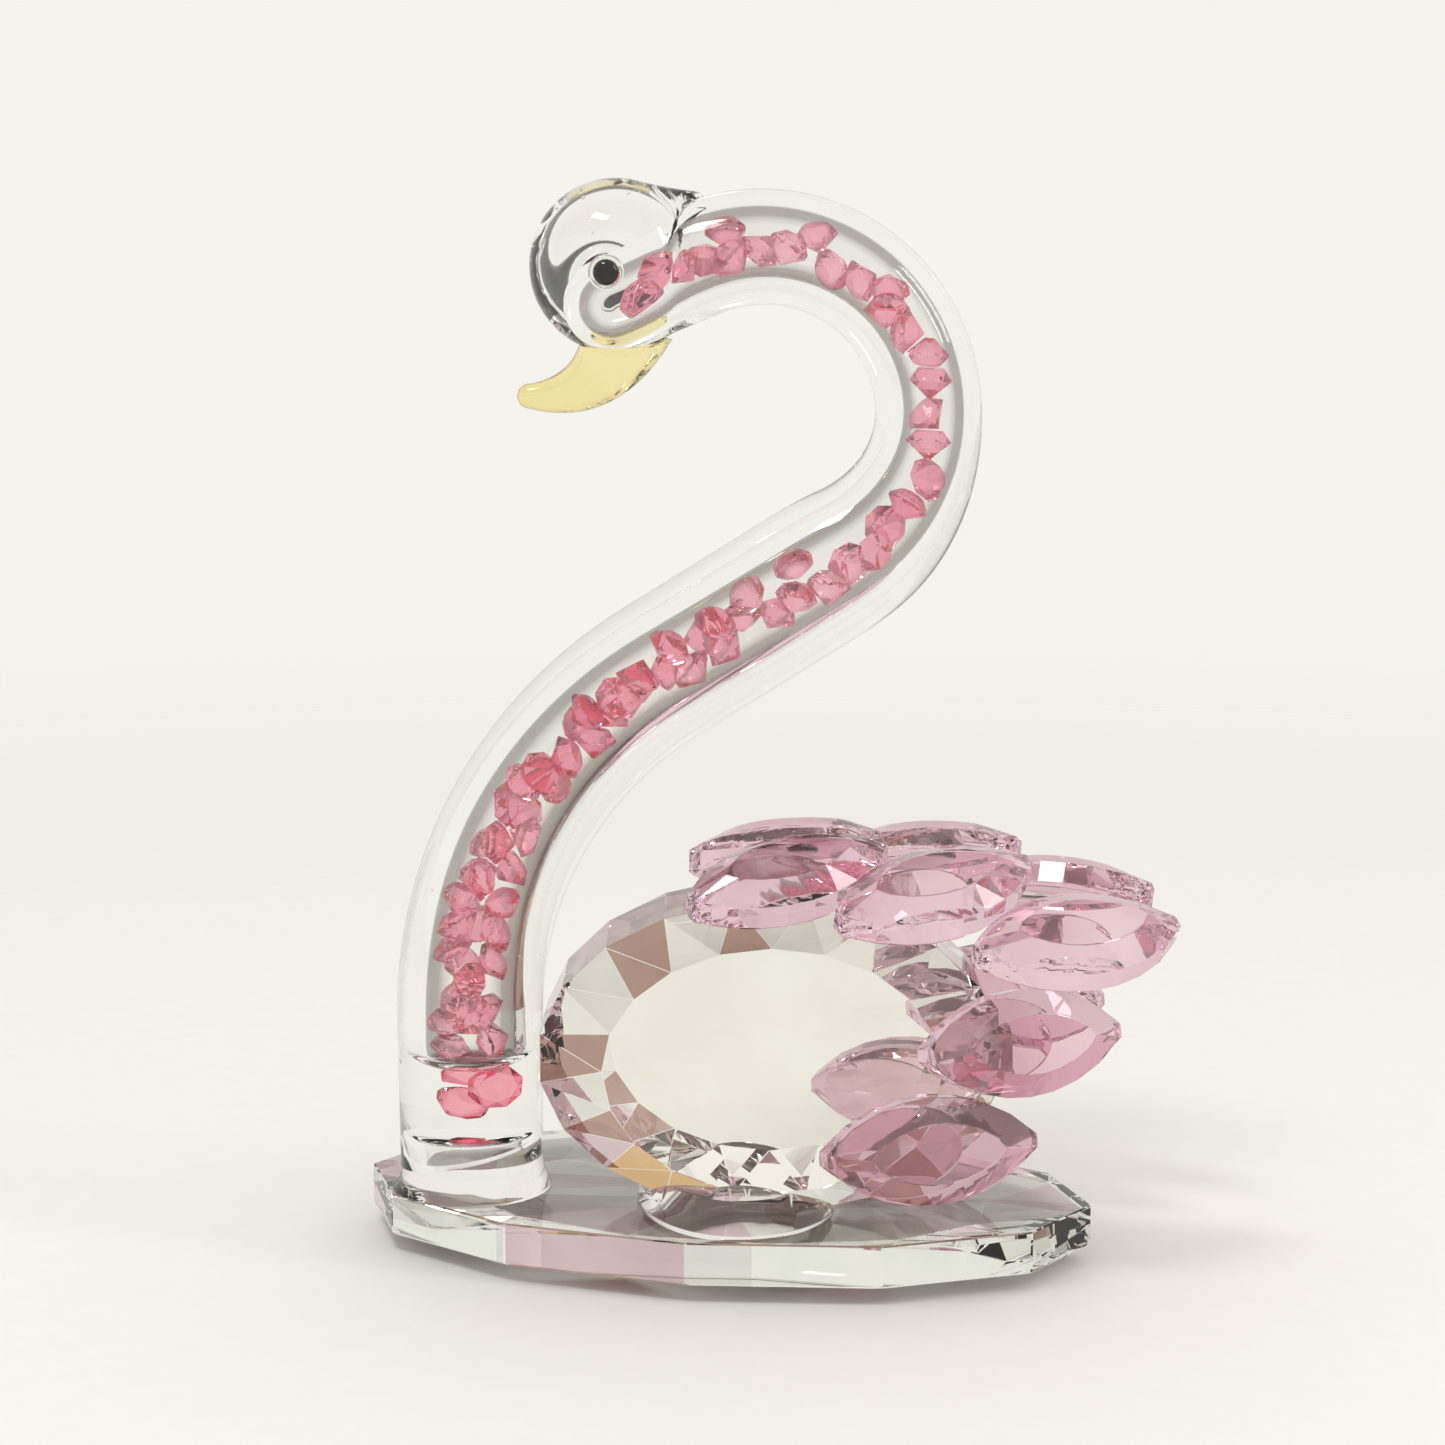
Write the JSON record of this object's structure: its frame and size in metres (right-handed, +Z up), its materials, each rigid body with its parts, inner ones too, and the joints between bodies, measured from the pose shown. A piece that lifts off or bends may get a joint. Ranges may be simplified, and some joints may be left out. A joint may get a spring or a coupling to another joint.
{
  "type": "glass swan figurine",
  "caption": "Small free-standing glass swan with a curved hollow neck full of faceted beads, a cut crystal body and oval plate, and pointed stones as feathers.",
  "frame": {"origin": "under the middle of the swan's box, at the height of its base", "axes": "+Z up, the swan faces -X, and +Y is its right-hand side, away from the picture's camera"},
  "size_m": [0.068, 0.0368, 0.09],
  "materials": {
    "clear_glass": "polished clear glass",
    "cut_crystal": "cut and polished crystal",
    "pink_bead_glass": "cut rose pink glass",
    "rose_stone_glass": "cut light rose glass",
    "amber_glass": "polished amber glass",
    "black_glass": "polished black glass",
    "clear_resin": "clear cast resin"
  },
  "bodies": {
    "root": {"base_plate": "cut_crystal", "beads_01": "pink_bead_glass", "beads_02": "pink_bead_glass", "beads_03": "pink_bead_glass", "beads_04": "pink_bead_glass", "beads_05": "pink_bead_glass", "beads_06": "pink_bead_glass", "beads_07": "pink_bead_glass", "beads_08": "pink_bead_glass", "beads_09": "pink_bead_glass", "beads_10": "pink_bead_glass", "beads_11": "pink_bead_glass", "beads_12": "pink_bead_glass", "beads_13": "pink_bead_glass", "beads_14": "pink_bead_glass", "beads_15": "pink_bead_glass", "beads_16": "pink_bead_glass", "beads_17": "pink_bead_glass", "beads_18": "pink_bead_glass", "beads_19": "pink_bead_glass", "beads_20": "pink_bead_glass", "beads_21": "pink_bead_glass", "beads_22": "pink_bead_glass", "beads_23": "pink_bead_glass", "beads_24": "pink_bead_glass", "beads_25": "pink_bead_glass", "beads_26": "pink_bead_glass", "beads_27": "pink_bead_glass", "beads_28": "pink_bead_glass", "beads_29": "pink_bead_glass", "beads_30": "pink_bead_glass", "beads_31": "pink_bead_glass", "beads_32": "pink_bead_glass", "beads_33": "pink_bead_glass", "beads_34": "pink_bead_glass", "beads_35": "pink_bead_glass", "beads_36": "pink_bead_glass", "beads_37": "pink_bead_glass", "beads_38": "pink_bead_glass", "beads_39": "pink_bead_glass", "beads_40": "pink_bead_glass", "beads_41": "pink_bead_glass", "beads_42": "pink_bead_glass", "beads_43": "pink_bead_glass", "beak": "amber_glass", "body_crystal": "cut_crystal", "eye_far": "black_glass", "eye_near": "black_glass", "feather_side_lower_far": "rose_stone_glass", "feather_side_lower_near": "rose_stone_glass", "feather_side_middle_far": "rose_stone_glass", "feather_side_middle_near": "rose_stone_glass", "feather_top_front_far": "rose_stone_glass", "feather_top_front_near": "rose_stone_glass", "feather_top_middle_far": "rose_stone_glass", "feather_top_middle_near": "rose_stone_glass", "feather_top_tail_far": "rose_stone_glass", "feather_top_tail_near": "rose_stone_glass", "neck_and_head": "clear_glass", "resin_plug": "clear_resin"}
  },
  "joints": []
}
